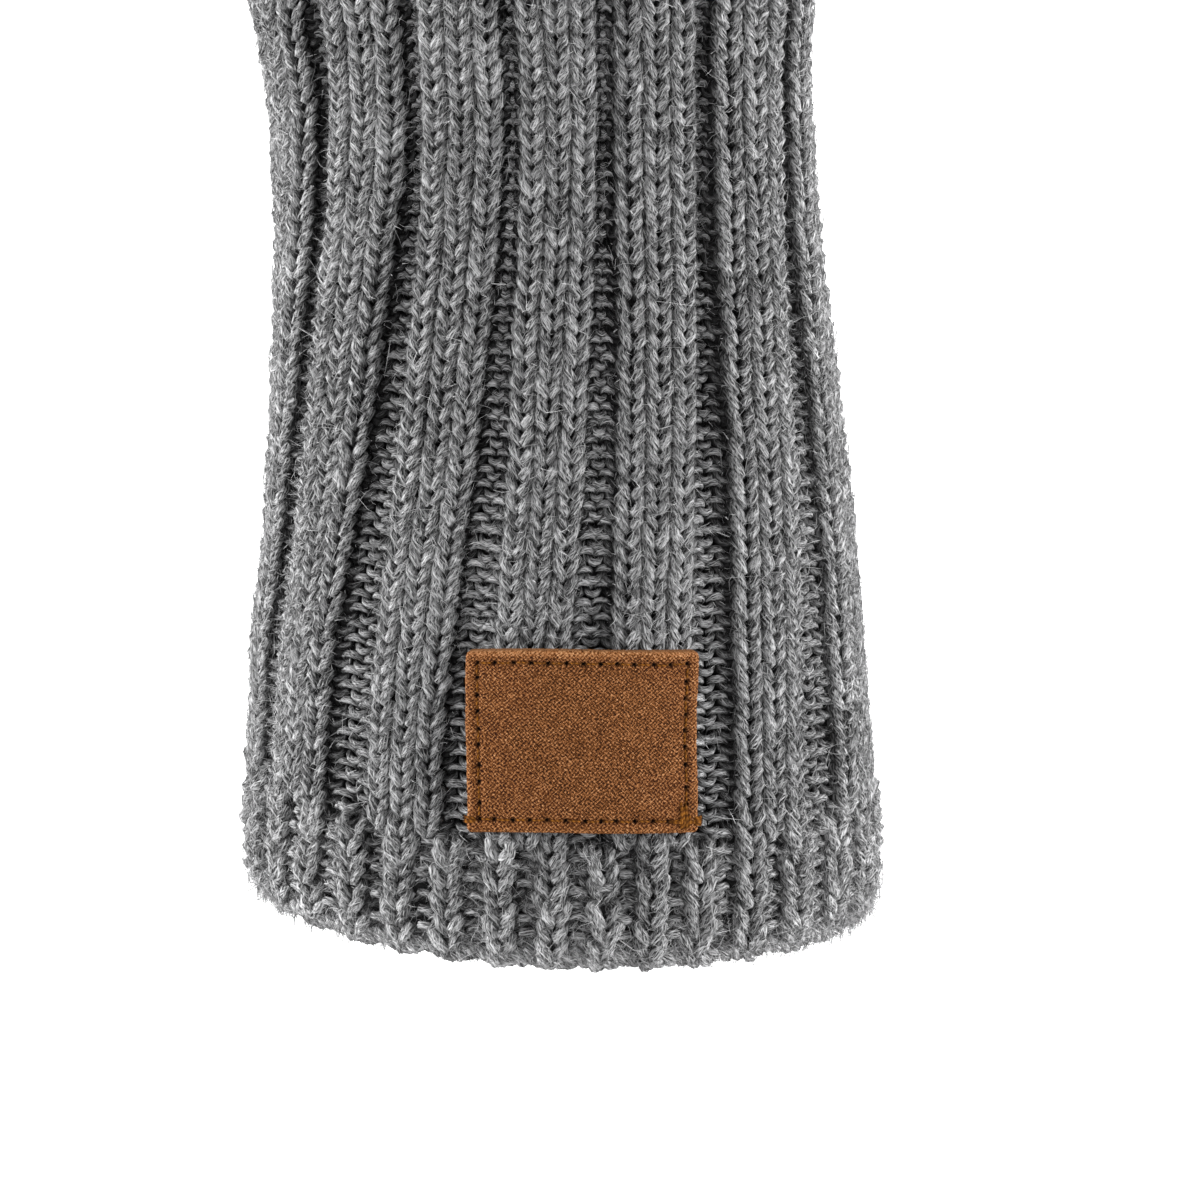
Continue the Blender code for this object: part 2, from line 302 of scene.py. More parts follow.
# Places on a colour ramp, each with its grey or its colour
YARN_GREYS = ((0.36, 0.006), (0.45, 0.036), (0.55, 0.124), (0.66, 0.216))
FIBRE_GREYS = ((0.0, 0.015), (0.4, 0.10), (1.0, 0.272))
# The backing's greys are very dark: painted shade between the stitches
BACKING_SHADE_GREYS = ((0.38, 0.002), (0.62, 0.014))
LEATHER_COLOURS = ((0.425, (0.0070, 0.0017, 0.0003)), (0.50, (0.038, 0.0124, 0.0026)),
                   (0.570, (0.107, 0.0435, 0.0155)), (0.68, (0.190, 0.1040, 0.0500)))
THREAD_COLOURS = ((0.0, (0.040, 0.0125, 0.0010)), (1.0, (0.125, 0.0450, 0.0050)))

# Studio
CAMERA_DISTANCE = 0.850
CAMERA_ELEVATION = 14.0
CAMERA_TARGET = (0.0083, 0.0, -0.068)
CAMERA_SENSOR = 36.0
FRAME_WIDTH = 0.168
FLOOR_Z = -0.16
FLOOR_HALF = 6.0
FLOOR_COLOUR = (0.93, 0.93, 0.93, 1.0)
SURROUND = 1.0
LAMP_TARGET = (0.0, 0.0, -0.03)
LAMPS = (
    ("left", (-1.10, -0.20, 0.15), 0.6, 58.0),
    ("right", (1.10, -0.23, 0.15), 0.6, 52.0),
    ("front", (-0.25, -1.00, 0.50), 0.5, 9.0),
    ("back", (0.20, 1.10, 0.45), 0.6, 16.0),
)


def smooth_step(value, low, high):
    """0 below low, 1 above high, and an even S between them."""
    t = np.clip((value - low) / (high - low), 0.0, 1.0)
    return t * t * (3.0 - 2.0 * t)


class Form:
    """The knitted tube's form: turns stitch number, height and inset into points."""

    LEVEL = 0.5 * MM
    SAMPLES = 720

    def __init__(self):
        self.low = HEM_Z - 4 * MM
        self.heights = np.arange(self.low, TOP_Z + 4 * MM, self.LEVEL)
        self.sections = np.array([self.section_row(z) for z in self.heights])
        angles = 2.0 * np.pi * (np.arange(self.SAMPLES + 1) / self.SAMPLES - 0.5)
        even = np.linspace(0.0, 1.0, self.SAMPLES + 1)
        table, lengths = [], []
        for row in self.sections:
            x, y = row[1] * np.sin(angles), -row[2] * np.cos(angles)
            way = np.concatenate(([0.0], np.cumsum(np.hypot(np.diff(x), np.diff(y)))))
            lengths.append(way[-1])
            table.append(np.interp(even * way[-1], way, angles))
        self.angle_table = np.array(table)
        self.lengths = np.array(lengths)

    @staticmethod
    def section_row(z):
        """The section at height z in metres, read from a smooth curve through the table's rows."""
        height = min(max(z / MM, SECTIONS[-1, 0]), SECTIONS[0, 0])
        k = 0
        while height < SECTIONS[k + 1, 0] and k < len(SECTIONS) - 2:
            k += 1
        p0, p1, p2, p3 = (SECTIONS[min(max(k + i, 0), len(SECTIONS) - 1), 1:] for i in (-1, 0, 1, 2))
        t = (height - SECTIONS[k, 0]) / (SECTIONS[k + 1, 0] - SECTIONS[k, 0])
        ease = p0 - 2.0 * p1 + p2 + ((p1 - 2.0 * p2 + p3) - (p0 - 2.0 * p1 + p2)) * t
        values = p1 + (p2 - p1) * t - ease * t * (1.0 - t) * 0.5
        return values * np.array((MM, MM, MM, MM, 1.0))

    def at(self, z):
        """shift_x, half_width, half_depth, groove, turn and length round at heights z."""
        level = np.clip((z - self.low) / self.LEVEL, 0.0, len(self.heights) - 1.001)
        row = level.astype(int)
        part = (level - row)[..., None]
        section = self.sections[row] * (1.0 - part) + self.sections[row + 1] * part
        length = np.interp(z, self.heights, self.lengths)
        return (*np.moveaxis(section, -1, 0), length, level)

    def point_at_way(self, way, z, inset):
        """Points inset metres inside the outline, with their outward normals."""
        shift, half_width, half_depth, _, _, length, level = self.at(z)
        place = ((way / length + 0.5) % 1.0) * self.SAMPLES
        row, column = level.astype(int), np.minimum(place.astype(int), self.SAMPLES - 1)
        up, along = level - row, place - column
        table = self.angle_table
        angle = ((table[row, column] * (1 - along) + table[row, column + 1] * along) * (1 - up)
                 + (table[row + 1, column] * (1 - along) + table[row + 1, column + 1] * along) * up)
        normal = np.stack((np.sin(angle) / half_width, -np.cos(angle) / half_depth), -1)
        normal /= np.linalg.norm(normal, axis=-1, keepdims=True)
        x = half_width * np.sin(angle) - inset * normal[..., 0]
        y = -half_depth * np.cos(angle) - inset * normal[..., 1]
        slant = COURSE_SLANT * (1.0 - smooth_step(z, SLANT_FULL_Z, SLANT_TOP_Z))
        points = np.stack((x + shift, y, z - slant * x), -1)
        return points, np.concatenate((normal, np.zeros_like(normal[..., :1])), -1)

    def way_of_stitch(self, stitch, z):
        """How far round from the front a stitch lies, with the thumb opening pulled apart."""
        turn, length = self.at(z)[4:6]
        stitch = np.clip(stitch, 0.0, STITCHES)
        rib = np.floor(stitch / RIB_STITCHES)
        place = stitch - rib * RIB_STITCHES
        pitch = length / RIBS
        plain = PLAIN_WIDTH / pitch
        sunk = (1.0 - (RIB_STITCHES - SUNK_STITCHES) * plain) / SUNK_STITCHES
        inside = np.clip(place - SUNK_STITCHES / 2.0, 0.0, RIB_STITCHES - SUNK_STITCHES)
        turned = rib + inside * plain + (place - inside) * sunk - THUMB_GROOVE_RIBS + turn
        spaced = turned.copy()
        for number, strength in enumerate(SPACING, start=1):
            wave = RIBS / (2.0 * math.pi * number)
            spaced += strength * wave * np.sin(turned / wave)
        pull = opening_half_width(z)
        left = np.maximum(1.0 - stitch / THUMB_PULL_STITCHES, 0.0) ** 2
        right = np.maximum(1.0 - (STITCHES - stitch) / THUMB_PULL_STITCHES, 0.0) ** 2
        return spaced * pitch + pull * (left - right)

    def groove(self, stitch, z):
        """Depth below the ribs' crowns: wide ribs above, the hem band's fine ones below."""
        depth = self.at(z)[3]
        wide = smooth_step(np.abs(stitch % RIB_STITCHES - RIB_STITCHES / 2.0), CROWN_END, GROOVE_FULL)
        fine = (0.5 - 0.5 * np.cos(np.pi * (stitch - 0.5))) * BAND_GROOVE
        return wide * depth + (fine - wide * depth) * in_band(z)

    def point(self, stitch, z, inset):
        """Points inset metres below the ribs' own surface."""
        return self.point_at_way(self.way_of_stitch(stitch, z), z, inset + self.groove(stitch, z))


def in_band(z):
    """1 in the hem's fine rib, 0 above it."""
    return 1.0 - smooth_step(z, BAND_TOP_Z - BAND_BLEND, BAND_TOP_Z)


def opening_half_width(z):
    """Half the width of the thumb opening: a lens between its ends."""
    part = np.clip((z - THUMB_BOTTOM_Z) / (THUMB_TOP_Z - THUMB_BOTTOM_Z), 0.0, 1.0)
    return THUMB_HALF_WIDTH * np.sin(np.pi * part) ** THUMB_LENS_POWER


def soft_grid(rng, rows, columns, row_blur, column_blur):
    """Random numbers of unit spread on a grid that closes round its columns, smoothed both ways."""
    grid = rng.normal(0.0, 1.0, (rows, columns))
    row_wave = np.fft.fftfreq(rows)[:, None] * row_blur
    column_wave = np.fft.fftfreq(columns)[None, :] * column_blur
    soft = np.exp(-2.0 * np.pi**2 * (row_wave**2 + column_wave**2))
    grid = np.real(np.fft.ifft2(np.fft.fft2(grid) * soft))
    return grid / grid.std()


class Knitting:
    """Where the yarn of each row runs: t counts stitches along the row."""

    def __init__(self, form, rng):
        self.form = form
        self.row_z = FIRST_ROW_Z + ROW_HEIGHT * np.arange(ROWS)
        stitch = np.arange(STITCHES)[None, :]
        in_fine = (self.row_z < BAND_TOP_Z - BAND_BLEND / 2.0)[:, None]
        plain = (stitch % RIB_STITCHES >= 1) & (stitch % RIB_STITCHES <= RIB_STITCHES - 2)
        self.side = np.where(np.where(in_fine, stitch % 2 == 0, plain), 1.0, -1.0)
        way = form.way_of_stitch(np.arange(STITCHES) + 0.5, np.full(STITCHES, ODD_STITCHES_Z))
        odd = (np.abs(way - ODD_STITCHES_WAY) < ODD_STITCHES_HALF) & (np.arange(STITCHES) % 2 == 0)
        self.side[np.argmin(np.abs(self.row_z - ODD_STITCHES_Z)), odd] = -1.0
        in_fine_part = in_band(self.row_z)[:, None]
        loose = 1.0 + BAND_LOOSER * in_fine_part
        grids = ROWS, STITCHES

        def uneven(own, slow, *blur):
            """Each stitch's own part and a slow part, both stronger in the band."""
            return loose * (own * rng.normal(size=grids) + slow * soft_grid(rng, *grids, *blur))

        self.across = uneven(*UNEVEN_ACROSS)
        self.up = uneven(*UNEVEN_UP) * MM
        self.out = uneven(*UNEVEN_OUT) * MM
        self.size = 1.0 + UNEVEN_SIZE * loose * rng.normal(size=grids)
        self.twist = (COLUMN_TWIST + BAND_TWIST * in_fine_part) * (
            TWIST_SHARE * soft_grid(rng, *grids, *TWIST_BLUR) + TWIST_SHARE * rng.normal(size=grids))

    def read(self, grid, t):
        """A grid's values at t along each row, eased from stitch to stitch."""
        place = t - 0.5
        k = np.floor(place).astype(int)
        part = smooth_step(place - k, 0.0, 1.0)
        rows = np.arange(ROWS)[:, None]
        return grid[rows, k % STITCHES] * (1 - part) + grid[rows, (k + 1) % STITCHES] * part

    def path(self, t):
        """Every row's yarn at t, a list of stitch counts: points, normals, inset, groove, part of purl."""
        t = np.broadcast_to(t, (ROWS, len(t)))
        k = np.floor(t).astype(int)
        part = t - k
        turn = 2.0 * np.pi * part
        rows = np.arange(ROWS)[:, None]
        before, side, after = (self.side[rows, (k + step) % STITCHES] for step in (-1, 0, 1))
        other = np.where(part < 0.5, before, after)
        shared = smooth_step(1.0 - np.minimum(part, 1.0 - part) / SHARED_PART, 0.0, 1.0)
        wave = np.cos(2.0 * turn)
        depth = np.where(side > 0, KNIT_DEPTH, PURL_DEPTH)
        facing = side + (other - side) * 0.5 * shared
        out = -depth * wave * facing
        size = self.read(self.size, t)
        stitch = t + LOOP_BULGE * size * np.sin(2.0 * turn) + self.read(self.across, t)
        z = self.row_z[:, None] - LOOP_REACH * size * np.cos(turn) + self.read(self.up, t)
        stitch = stitch - BAND_KNIT_WIDER * np.cos(np.pi * stitch) * in_band(z)
        out = out + self.read(self.out, t) + self.twist[rows, k % STITCHES] * np.sin(turn)
        hollow = self.form.groove(0.5 * (t + stitch) % STITCHES, z)
        inset = YARN_INSET - out + hollow
        closed = opening_half_width(self.row_z)[:, None] < SLIT_CLOSED
        stitch = np.where(closed, stitch % STITCHES, np.clip(stitch, SLIT_EDGE, STITCHES - SLIT_EDGE))
        points, normals = self.form.point_at_way(self.form.way_of_stitch(stitch, z), z, inset)
        return points, normals, inset, hollow, 0.5 - 0.5 * facing


def tube_frames(before, after, normals):
    """Side and out directions of a tube at each of its points."""
    tangent = after - before
    tangent /= np.linalg.norm(tangent, axis=-1, keepdims=True)
    side = np.cross(tangent, normals)
    side /= np.linalg.norm(side, axis=-1, keepdims=True)
    return side, np.cross(side, tangent)


def tube_vertices(points, side, out, radius_side, radius_out, sides):
    """Rings of vertices round the points of tubes; the first side faces inwards."""
    turn = 2.0 * np.pi * (np.arange(sides) + 0.5) / sides
    return (points[..., None, :]
            + (radius_side[..., None] * np.sin(turn))[..., None] * side[..., None, :]
            - (radius_out[..., None] * np.cos(turn))[..., None] * out[..., None, :])


def tube_faces(tubes, rings, sides):
    """Quads of several tubes in one mesh, each of as many rings."""
    tube, ring, corner = np.meshgrid(np.arange(tubes), np.arange(rings - 1), np.arange(sides), indexing="ij")
    base = (tube * rings + ring) * sides
    after = (corner + 1) % sides
    quads = np.stack((base + corner, base + after, base + sides + after, base + sides + corner), -1)
    return quads.reshape(-1, 4), tube.ravel(), ring.ravel(), corner.ravel()


def add_object(name, data):
    """A new object in the scene."""
    thing = bpy.data.objects.new(name, data)
    bpy.context.scene.collection.objects.link(thing)
    return thing


def put_numbers(mesh, uvs, values):
    """UV maps by the faces' corners, and numbers that the vertices carry, by name."""
    for name, places in uvs.items():
        mesh.uv_layers.new(name=name).uv.foreach_set("vector", np.asarray(places, np.float32).ravel())
    for name, numbers in values.items():
        attribute = mesh.attributes.new(name, "FLOAT", "POINT")
        attribute.data.foreach_set("value", np.asarray(numbers, np.float32).ravel())


def mesh_piece(name, vertices, faces, material, uvs, values):
    """A smooth mesh object from arrays: faces is a list of arrays, each of quads or of triangles."""
    mesh = bpy.data.meshes.new(name)
    vertices = np.asarray(vertices, np.float32).reshape(-1, 3)
    mesh.vertices.add(len(vertices))
    mesh.vertices.foreach_set("co", vertices.ravel())
    corners = np.concatenate([f.ravel() for f in faces]).astype(np.int32)
    totals = np.concatenate([np.full(len(f), f.shape[1], np.int32) for f in faces])
    mesh.loops.add(len(corners))
    mesh.loops.foreach_set("vertex_index", corners)
    mesh.polygons.add(len(totals))
    mesh.polygons.foreach_set("loop_start", np.concatenate(([0], np.cumsum(totals)[:-1])).astype(np.int32))
    mesh.polygons.foreach_set("loop_total", totals)
    mesh.update(calc_edges=True)
    mesh.polygons.foreach_set("use_smooth", np.ones(len(totals), bool))
    put_numbers(mesh, uvs, values)
    mesh.materials.append(material)
    return add_object(name, mesh)


def corner_map(u0, u1, v0, v1):
    """A UV map of rectangles, one for each face."""
    return np.stack([np.stack(corner, -1) for corner in ((u0, v0), (u0, v1), (u1, v1), (u1, v0))], 1)


def strip_map(tube, ring, corner, rings, sides):
    """A bake map that unrolls each tube into strips side by side, one face after another."""
    columns = 2
    margin = 0.15
    rows_of_strips = (int(tube.max()) + 1) * columns
    per_column = math.ceil((rings - 1) / columns)
    column, step = ring // per_column, ring % per_column
    u0 = step / per_column
    v0 = (tube * columns + column + margin) / rows_of_strips
    high = (1.0 - 2.0 * margin) / rows_of_strips / sides
    return corner_map(u0, u0 + 1.0 / per_column, v0 + corner * high, v0 + (corner + 1) * high)


def yarn_map(along, tube, ring, corner, sides):
    """Millimetres along the yarn and round it, for each face's corners."""
    low, high = corner * YARN_ROUND / sides, (corner + 1) * YARN_ROUND / sides
    return corner_map(along[tube, ring], along[tube, ring + 1], low, high)


def tube_piece(name, points, side, out, radius_side, radius_out, sides, along, values, material):
    """A joined mesh of tubes: points has one row a tube, and values one number a point for each name."""
    tubes, rings = points.shape[:2]
    vertices = tube_vertices(points, side, out, radius_side, radius_out, sides)
    faces, tube, ring, corner = tube_faces(tubes, rings, sides)
    uvs = {"yarn": yarn_map(along, tube, ring, corner, sides),
           "OFBake": strip_map(tube, ring, corner, rings, sides)}
    full = {value_name: value if value.ndim == 3 else np.repeat(value[..., None], sides, axis=-1)
            for value_name, value in values.items()}
    return mesh_piece(name, vertices, [faces], material, uvs, full)


def length_along(points, start):
    """Millimetres along each tube, from a start of its own."""
    steps = np.linalg.norm(np.diff(points, axis=1), axis=-1) / MM
    return np.concatenate((start, start + np.cumsum(steps, axis=1)), axis=1)


def places_along_row(first, last, plain_segments, sunk_segments):
    """Stitch counts along a row, closer together where a stitch's yarn shows."""
    places = []
    for stitch in range(first, last):
        sunk = not 1 <= stitch % RIB_STITCHES <= RIB_STITCHES - 2
        count, crowding = (sunk_segments, SUNK_CROWDING) if sunk else (plain_segments, PLAIN_CROWDING)
        part = np.arange(count) / count
        places.append(stitch + part - crowding * np.sin(4.0 * np.pi * part) / (4.0 * np.pi))
    return np.concatenate(places + [[float(last)]])


def yarn_shade(knitting, path, out, sides):
    """Painted shade round the yarn: 1 is full painted shade in a crease, and below 0 is painted light."""
    _, normals, inset, hollow, purl = path
    turn = 2.0 * np.pi * (np.arange(sides) + 0.5) / sides
    sunk = inset[..., None] + YARN_OUT * np.cos(turn) * np.abs((out * normals).sum(-1))[..., None]
    local = sunk - hollow[..., None]
    facing_side, purl = np.abs(normals[..., :1]), purl[..., None]
    band = in_band(knitting.row_z)[:, None, None]
    # Painted shade in the creases between the stitches, by how far each point lies below the crowns
    crease = 0.0
    for share, (start, full, deeper) in ((1.0 - purl, KNIT_CREASE), (purl, PURL_CREASE)):
        crease = crease + share * smooth_step(local, start * MM, (full + deeper * band) * MM)
    # Painted light in the purl ladders, less where they face sideways towards the lamps
    in_ladder = purl * smooth_step(hollow[..., None], *LADDER_HOLLOW) * (1.0 - band)
    in_ladder *= LADDER_LIGHT - LADDER_SIDE_LESS * smooth_step(facing_side, *LADDER_FACING)
    # Painted light near the hem and where the tube faces sideways; less painted crease shade at the sides
    # and in the band, and a trace of painted shade in the band
    at_edge = 1.0 - smooth_step(knitting.row_z, *EDGE_HEIGHTS)[:, None, None]
    at_side = smooth_step(facing_side, *SIDE_FACING)
    crease *= 1.0 - SIDE_CREASE_LESS * at_side - BAND_CREASE_LESS * band
    light = in_ladder + SIDE_LIGHT * at_side + BAND_LIGHT * band + EDGE_LIGHT * at_edge
    painted_shade = crease - light * (1.0 - crease)
    # Painted light on the inner faces, in place of the crease's painted shade
    return painted_shade - (INSIDE_LIGHT + painted_shade) * smooth_step(local, *INSIDE_DEPTHS)


def knit_yarn(knitting, rng, wool):
    """All rows of stitches, front and back, in pieces of some rows each. Returns pieces and fibre roots."""
    tones = rng.normal(size=(ROWS, STITCHES))
    slow = soft_grid(rng, ROWS, STITCHES, *SLOW_BLUR)
    thick = rng.normal(size=(ROWS, STITCHES))
    starts = rng.uniform(0.0, YARN_START, (ROWS, 1))
    band = in_band(knitting.row_z)[:, None]
    pieces, roots = [], []
    for half_name, first, last, segments, sides, groups in HALVES:
        t = places_along_row(first, last, *segments)
        every = np.broadcast_to(t, (ROWS, len(t)))
        path = knitting.path(t)
        points, normals, inset, _, purl = path
        before, after = (knitting.path(t + step)[0] for step in (-PATH_STEP, PATH_STEP))
        side, out = tube_frames(before, after, normals)
        fat = 1.0 + THICKNESS_SPREAD * knitting.read(thick, every) - PURL_THINNER * purl + BAND_FATTER * band
        along = length_along(points, starts + BACK_START * (first > 0))
        tone = 0.5 + (TONE_SPREAD - BAND_TONE_LESS * band) * knitting.read(tones, every) \
            + SLOW_TONE * knitting.read(slow, every)
        # Painted shade and painted light for every point round the yarn
        painted_shade = yarn_shade(knitting, path, out, sides)
        bounds = np.linspace(0, ROWS, groups + 1).astype(int)
        for number, (low, high) in enumerate(zip(bounds[:-1], bounds[1:]), start=1):
            rows = slice(low, high)
            pieces.append(tube_piece(
                f"yarn_{half_name}_{number}", points[rows], side[rows], out[rows],
                YARN_SIDE * fat[rows], YARN_OUT * fat[rows], sides, along[rows],
                {"tone": tone[rows], "painted_shade": painted_shade[rows]}, wool))
        roots.append((points.reshape(-1, 3), side.reshape(-1, 3), out.reshape(-1, 3),
                      normals.reshape(-1, 3), inset.ravel()))
    return pieces, roots


def rope(form, name, stitch, z, inset, twist, light, rng, wool):
    """A closed edge cord of twisted strands along a line of stitch numbers and heights."""
    points, normals = form.point_at_way(form.way_of_stitch(stitch, z), z, inset)
    shift = np.roll(points, -1, 0) - np.roll(points, 1, 0)
    side, out = tube_frames(0.0, shift, normals)
    length = np.concatenate(([0.0], np.cumsum(np.linalg.norm(np.diff(points, axis=0), axis=-1))))
    turns = round(length[-1] / twist)
    phases = 2.0 * np.pi * (turns * length / length[-1] + np.arange(CORD_STRANDS)[:, None] / CORD_STRANDS)
    swing = 1.0 + CORD_WOBBLE * rng.normal(size=(CORD_STRANDS, len(points)))
    reach = CORD_RADIUS * CORD_SWING
    lines = points + (np.cos(phases) * swing)[..., None] * reach * out \
        + (np.sin(phases) * swing)[..., None] * reach * side
    normals = np.broadcast_to(normals, lines.shape)
    side, out = tube_frames(np.roll(lines, 1, 1), np.roll(lines, -1, 1), normals)
    fat = CORD_RADIUS * (1.0 + CORD_THICKNESS_SPREAD * rng.normal(size=lines.shape[:2]))
    along = length_along(lines, rng.uniform(0.0, CORD_START, (CORD_STRANDS, 1)))
    tone = 0.5 + CORD_TONE_SPREAD * rng.normal(size=lines.shape[:2])
    # The cord's lightness is painted light, given as a negative painted shade all along the cord
    values = {"tone": tone, "painted_shade": np.full(lines.shape[:2], -light)}
    piece = tube_piece(name, lines, side, out, fat, fat, CORD_SIDES, along, values, wool)
    roots = [part.reshape(-1, 3) for part in (lines, side, out, normals)]
    return piece, (*roots, np.full(len(roots[0]), CORD_DEPTH))


def edge_cords(form, rng, wool):
    """Cords round the hem and the top edge, and one round the thumb opening. Returns pieces and roots."""
    around = np.linspace(0.0, STITCHES, STITCHES * CORD_POINTS + 1)[:-1]
    scallop = np.cos(np.pi * (around - 0.5))
    made = [rope(form, name, around, z - drop * scallop, inset - drop * scallop, CORD_TWIST, light,
                 rng, wool) for name, z, inset, drop, light in CORDS]
    rise = np.linspace(THUMB_BOTTOM_Z - THUMB_CORD_PAST, THUMB_TOP_Z + THUMB_CORD_PAST, THUMB_CORD_POINTS)
    slit_stitch = np.repeat((THUMB_CORD_STITCH, STITCHES - THUMB_CORD_STITCH), THUMB_CORD_POINTS)
    slit_z = np.concatenate((rise, rise[::-1]))
    made.append(rope(form, "thumb_cord", slit_stitch, slit_z, THUMB_CORD_INSET, THUMB_CORD_TWIST, 0.0,
                     rng, wool))
    return zip(*made)


def fibre_ribbons(name, start, heading, bend, reach, curl, width, tone, fibre, steps):
    """Joined thin ribbons, each a pointed strip that curls from its heading towards its bend."""
    count = len(start)
    flat = np.cross(heading, bend)
    vertices = []
    for step in range(steps + 1):
        part = step / steps
        chord, angle = np.sinc(curl * part / np.pi), curl * part
        line = start + reach * part * chord * (np.cos(angle) * heading + np.sin(angle) * bend)
        half = flat * width * 0.5 * (1.0 - RIBBON_TAPER * part)
        vertices += [line - half, line + half] if step < steps else [line]
    size = len(vertices)
    vertices = np.stack(vertices, 1).reshape(-1, 3)
    base = np.arange(count) * size
    quads = np.concatenate([np.zeros((0, 4), int)] + [base[:, None] + 2 * step + np.array((0, 1, 3, 2))
                                                      for step in range(steps - 1)])
    tips = base[:, None] + size - 1 - np.array((2, 1, 0))
    faces = len(quads) + len(tips)
    cells = math.ceil(math.sqrt(faces))
    place = np.stack((np.arange(faces) % cells, np.arange(faces) // cells), -1)[:, None, :]
    square = np.array(((0.2, 0.2), (0.8, 0.2), (0.8, 0.8), (0.2, 0.8)))
    bake = np.concatenate(((place[:len(quads)] + square).reshape(-1, 2),
                           (place[len(quads):] + square[:3]).reshape(-1, 2))) / cells
    values = {"tone": np.repeat(tone, size)}
    return mesh_piece(name, vertices, [quads, tips], fibre, {"OFBake": bake}, values)


def unit(vectors):
    """The same directions, one long."""
    return vectors / np.linalg.norm(vectors, axis=-1, keepdims=True)


def any_bend(heading, rng):
    """A random direction at right angles to each heading."""
    return unit(np.cross(heading, rng.normal(size=heading.shape)))


def either_way(count, rng):
    """1 or -1 for each fibre."""
    return rng.choice((-1.0, 1.0), count)[:, None]


def grow(kind, name, start, heading, bend, fibre, rng, longer=1.0):
    """The piece with all fibres of one kind, each with its own length, curl and tone."""
    size = kind.count, 1
    reach = np.minimum(kind.reach * np.exp(kind.spread * rng.normal(size=size)) * longer, kind.most)
    curl = rng.uniform(*kind.curl, size) if any(kind.curl) else np.zeros(size)
    tone = kind.light * rng.uniform(*kind.tone, kind.count) ** kind.power
    return fibre_ribbons(name, start, heading, bend, reach, curl, kind.width, tone, fibre, kind.steps)


def pick_roots(roots, kind, rng):
    """Random places on the yarn, fewer the deeper they lie and more at the tube's sides and hem."""
    weight = np.exp(-np.maximum(roots[4] - ROOT_DEPTH, 0.0) / kind.fade)
    weight *= 1.0 + kind.sides * smooth_step(np.abs(roots[3][:, 0]), *ROOT_SIDES)
    weight *= 1.0 + kind.hem * (1.0 - smooth_step(roots[0][:, 2], *ROOT_HEM))
    x, y, z = (roots[0] / MM).T
    covered = (np.abs(x - COVERED_X) < COVERED_HALF_X) & (np.abs(z - COVERED_Z) < COVERED_HALF_Z)
    weight[(y < 0.0) & covered] = 0.0
    chosen = rng.choice(len(weight), kind.count, p=weight / weight.sum())
    return [part[chosen] for part in roots]


def on_surface(kind, points, side, out, rng):
    """Directions away from the yarn, most of them outwards, and the places there on its surface."""
    turn = rng.normal(0.0, kind.turn, kind.count)[:, None]
    surface = np.cos(turn) * out + np.sin(turn) * side
    return surface, points + kind.height * YARN_OUT * surface


def halo_fibres(roots, rng, fibre):
    """Fibres that stand off the wool, longer at the hem."""
    points, side, out, _, _ = pick_roots(roots, HALO, rng)
    surface, start = on_surface(HALO, points, side, out, rng)
    along = np.cross(side, out) * either_way(HALO.count, rng)
    rise = rng.uniform(*HALO_RISE, HALO.count)[:, None]
    heading = unit(rise * surface + (1.0 - rise) * along + HALO.stray * rng.normal(size=points.shape))
    longer = 1.0 + HALO_HEM_LONGER * (points[:, 2:] < ROOT_HEM[1])
    return grow(HALO, "halo_fibres", start, heading, any_bend(heading, rng), fibre, rng, longer)


def short_fibres(roots, rng, fibre):
    """The fine short fuzz: one thin straight blade a fibre."""
    points, side, out, _, _ = pick_roots(roots, SHORT, rng)
    surface, start = on_surface(SHORT, points, side, out, rng)
    heading = unit(SHORT_OUTWARD * surface + SHORT.stray * rng.normal(size=points.shape))
    return grow(SHORT, "short_fibres", start, heading, any_bend(heading, rng), fibre, rng)


def hem_hairs(roots, rng, fibre):
    """Longer curled hairs that hang from the cast-on edge."""
    low = roots[0][:, 2] < HAIRS_TOP_Z
    points, _, _, normals, _ = pick_roots([part[low] for part in roots], HAIRS, rng)
    heading = unit(normals * 0.5 + np.array((0.0, 0.0, -1.0)) + HAIRS.stray * rng.normal(size=points.shape))
    return grow(HAIRS, "hem_hairs", points, heading, any_bend(heading, rng), fibre, rng)


def lying_fibres(roots, rng, fibre):
    """Fibres that lie over the stitches in all directions, most of them near the yarn's own."""
    points, side, out, normals, _ = pick_roots(roots, LYING, rng)
    along = np.cross(side, out) * either_way(LYING.count, rng)
    along = unit(along - (along * normals).sum(-1, keepdims=True) * normals)
    turn = rng.normal(0.0, LYING.turn, LYING.count)[:, None]
    level = np.cross(normals, along)
    lift = rng.uniform(*LYING_LIFT, LYING.count)[:, None]
    heading = unit(np.cos(turn) * along + np.sin(turn) * level + lift * normals)
    bend = unit(np.cross(heading, normals) * either_way(LYING.count, rng) - LYING_DOWN * normals)
    bend = unit(bend - (bend * heading).sum(-1, keepdims=True) * heading)
    shift = rng.normal(0.0, LYING_SHIFT, LYING.count)[:, None] * YARN_SIDE
    start = points + LYING.height * YARN_OUT * out + shift * side
    return grow(LYING, "lying_fibres", start, heading, bend, fibre, rng)


